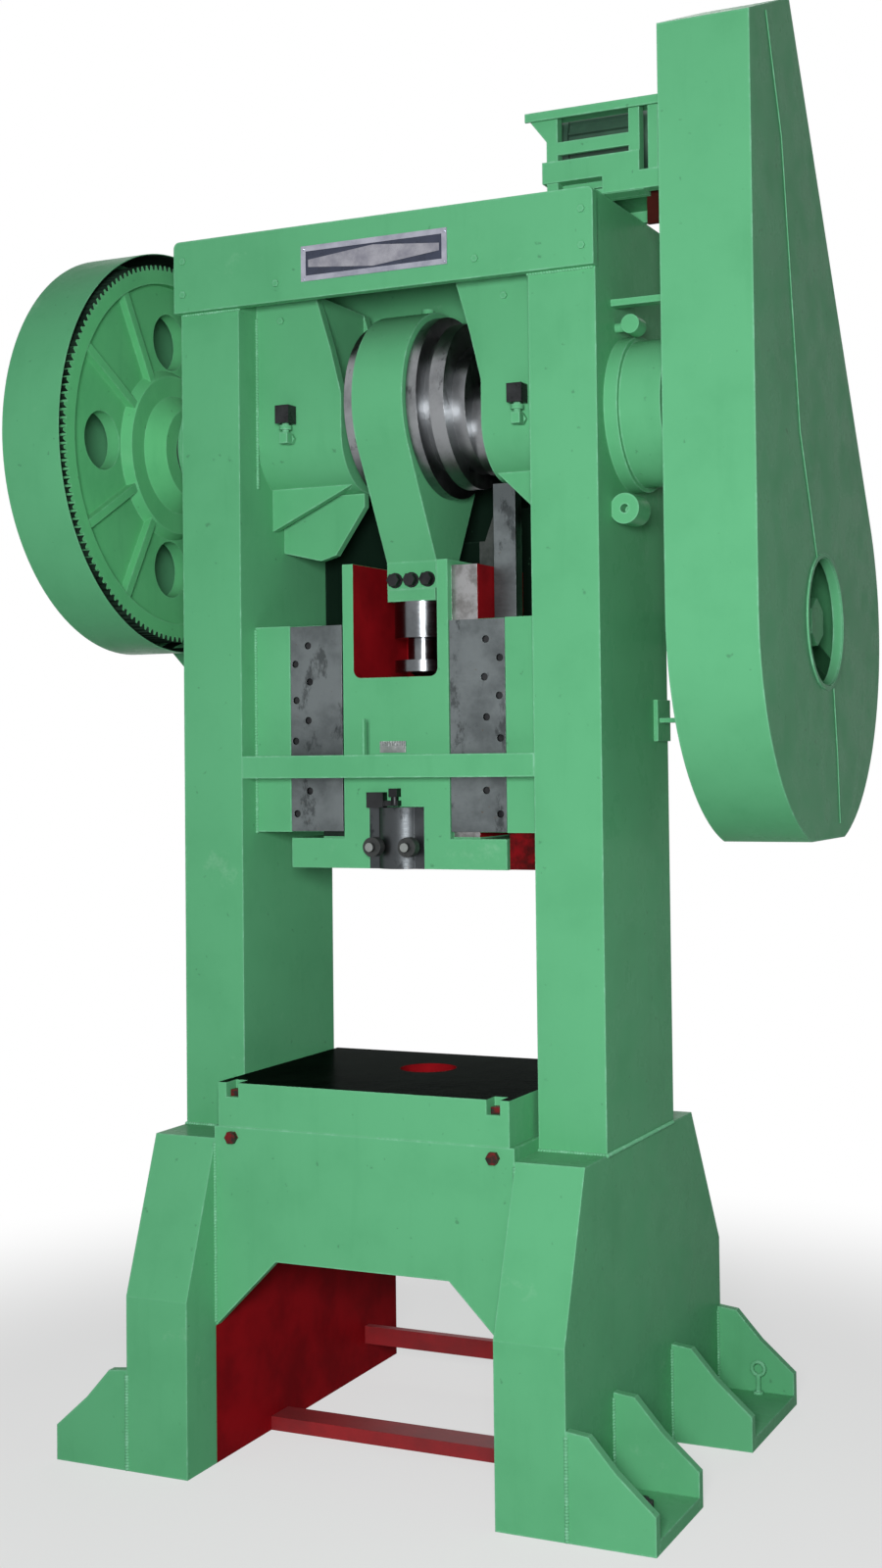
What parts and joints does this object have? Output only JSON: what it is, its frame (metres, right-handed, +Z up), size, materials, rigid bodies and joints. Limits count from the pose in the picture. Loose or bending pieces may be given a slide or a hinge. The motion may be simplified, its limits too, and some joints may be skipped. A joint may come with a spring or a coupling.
{
  "type": "mechanical stamping press",
  "caption": "Straight-sided geared mechanical press: welded H frame, eccentric crankshaft, guided slide, bolster, gear drum and belt guard.",
  "frame": {"origin": "on the floor, midway between the four anchor bolts and straight under the crankshaft", "axes": "+X to the right of the press seen from its front, +Y towards its back, +Z up"},
  "size_m": [1.635, 1.2219, 3.075],
  "materials": {
    "green_paint": "gloss machine enamel on welded plate",
    "green_dark": "thin machine enamel inside and on castings",
    "red_primer": "dark red primer",
    "ground_steel": "ground and lightly oiled steel",
    "black_steel": "oil-blackened steel",
    "bronze": "turned bearing bronze",
    "rubber": "moulded rubber",
    "plate_silver": "satin rim",
    "plate_dark": "dark enamel",
    "motor_grey": "grey-green enamel on cast iron"
  },
  "bodies": {
    "frame": {"bed_top_plate": "green_paint", "left_column": "green_paint", "right_column": "green_paint", "left_leg": "green_paint", "right_leg": "green_paint", "foot_gussets": "green_paint", "foot_pads": "green_paint", "bed_front_plate": "green_paint", "bed_rear_plate": "green_paint", "crown_front_plate": "green_paint", "crown_rear_plate": "green_paint", "crown_top_plate": "green_paint", "left_bearing_housing": "green_paint", "right_bearing_housing": "green_paint", "side_lug": "green_paint", "hanging_braces": "green_paint", "left_gib_bracket": "green_paint", "right_gib_bracket": "green_paint", "front_tie_bar": "green_paint", "gear_guard": "green_paint", "belt_guard": "green_paint", "belt_guard_back": "green_paint", "belt_guard_brackets": "green_paint", "motor_bracket": "green_paint", "motor_plate": "green_paint", "stroke_pointer": "green_paint", "back_shaft_bearings": "green_paint", "oil_fittings": "green_paint", "housing_bolts": "green_paint", "crown_bolts": "green_paint", "front_floor_bar": "red_primer", "rear_floor_bar": "red_primer", "bolster_bolts": "red_primer", "rear_tie_plate": "green_dark", "bolster_plate": "black_steel", "gib_screws": "black_steel", "oil_cups": "black_steel", "left_gib_plates": "ground_steel", "right_gib_plates": "ground_steel", "crank_bushes": "bronze", "drive_belts": "rubber", "nameplate_frame": "plate_silver", "nameplate": "plate_dark", "motor_housing": "motor_grey"},
    "crank": {"crankshaft": "ground_steel", "main_gear": "green_paint", "gear_nut": "ground_steel"},
    "rod": {"connecting_rod": "green_paint", "strap_lining": "bronze", "rod_clamp_bar": "green_paint", "rod_clamp_bolts": "ground_steel", "adjusting_screw": "ground_steel"},
    "ram": {"slide": "green_paint", "shank_clamp_cap": "ground_steel", "shank_clamp_studs": "ground_steel", "clamp_set_screw": "black_steel", "scale_plate": "plate_silver"},
    "drive": {"back_shaft": "ground_steel", "pinion_flywheel": "ground_steel"},
    "motor_spin": {"motor_rotor": "ground_steel"}
  },
  "joints": [
    {"name": "crank_turn", "type": "hinge", "parent": "frame", "child": "crank", "pos_m": [0, 0, 2.212], "axis": [1, 0, 0], "continuous": true},
    {"name": "rod_on_eccentric", "type": "hinge", "parent": "crank", "child": "rod", "pos_m": [0, 0, 2.262], "axis": [1, 0, 0], "continuous": true},
    {"name": "slide_travel", "type": "slide", "parent": "frame", "child": "ram", "axis": [0, 0, 1], "range_m": [-0.1, 0]},
    {"name": "back_shaft_turn", "type": "hinge", "parent": "frame", "child": "drive", "pos_m": [0, 0.263, 1.77504], "axis": [1, 0, 0], "continuous": true},
    {"name": "motor_turn", "type": "hinge", "parent": "frame", "child": "motor_spin", "pos_m": [0, 0, 2.79], "axis": [1, 0, 0], "continuous": true}
  ],
  "couplings": [
    {"joint": "rod_on_eccentric", "follows": "crank_turn", "ratio": -1},
    {"joint": "back_shaft_turn", "follows": "crank_turn", "ratio": -6.0833},
    {"joint": "motor_turn", "follows": "crank_turn", "ratio": -32.785}
  ]
}
